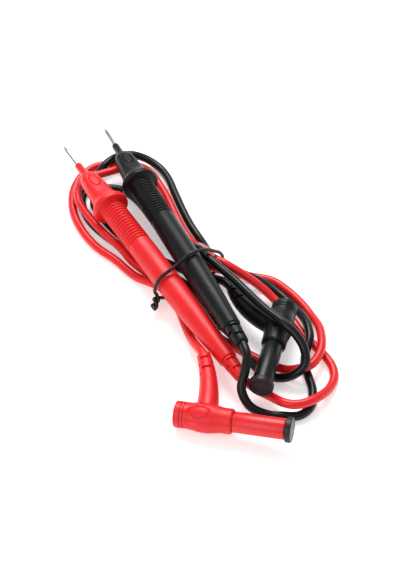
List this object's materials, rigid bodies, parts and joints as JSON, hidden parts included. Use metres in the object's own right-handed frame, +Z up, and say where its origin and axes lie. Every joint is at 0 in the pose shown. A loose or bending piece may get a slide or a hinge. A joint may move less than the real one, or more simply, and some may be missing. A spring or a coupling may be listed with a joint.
{
  "type": "multimeter test leads",
  "caption": "Red and black meter test leads with needle probes, finger guards, flexible cords and capped right-angle shrouded plugs, folded and held by a twist tie.",
  "frame": {"origin": "on the supporting surface, under the middle of the box of the probes, plugs and tie", "axes": "+Y along the bundle towards the probe tips, +Z up from the surface the bundle lies on"},
  "size_m": [0.0785, 0.195, 0.0229],
  "materials": {
    "soft_red": "satin soft moulding",
    "soft_black": "satin soft moulding",
    "hard_red": "smooth hard moulding",
    "hard_black": "smooth hard moulding",
    "cap": "satin moulding",
    "nickel": "bright nickel plate",
    "pin_metal": "gold-coloured plate",
    "inner_wire": "insulated wire",
    "tie_plastic": "satin sleeve",
    "tie_steel": "soft wire"
  },
  "bodies": {
    "bundle": {"red_probe_needle": "nickel", "red_probe_core": "hard_red", "red_probe_handle": "soft_red", "red_probe_boot": "soft_red", "red_probe_wire": "inner_wire", "red_plug_pin": "pin_metal", "red_plug_insulator": "hard_red", "red_plug_body": "soft_red", "red_plug_wire": "inner_wire", "red_cord": "soft_red", "black_probe_needle": "nickel", "black_probe_core": "hard_black", "black_probe_handle": "soft_black", "black_probe_boot": "soft_black", "black_probe_wire": "inner_wire", "black_plug_pin": "pin_metal", "black_plug_insulator": "hard_black", "black_plug_body": "soft_black", "black_plug_wire": "inner_wire", "black_cord": "soft_black", "tie_coat": "tie_plastic", "tie_wire": "tie_steel"},
    "red_plug_cap": {"red_plug_cap": "cap"},
    "black_plug_cap": {"black_plug_cap": "cap"},
    "red_plug_spring": {"red_plug_spring": "nickel"},
    "black_plug_spring": {"black_plug_spring": "nickel"}
  },
  "joints": [
    {"name": "red_cap_pull", "type": "slide", "parent": "bundle", "child": "red_plug_cap", "axis": [0.7452, -0.6612, 0.087], "range_m": [0, 0.0053]},
    {"name": "black_cap_pull", "type": "slide", "parent": "bundle", "child": "black_plug_cap", "axis": [-0.6567, -0.7537, 0.026], "range_m": [0, 0.0053]},
    {"name": "red_spring_turn", "type": "hinge", "parent": "bundle", "child": "red_plug_spring", "pos_m": [-0.00735, -0.08528, 0.00809], "axis": [0.7452, -0.6612, 0.087], "continuous": true},
    {"name": "black_spring_turn", "type": "hinge", "parent": "bundle", "child": "black_plug_spring", "pos_m": [0.00976, -0.06195, 0.01126], "axis": [-0.6567, -0.7537, 0.026], "continuous": true}
  ]
}
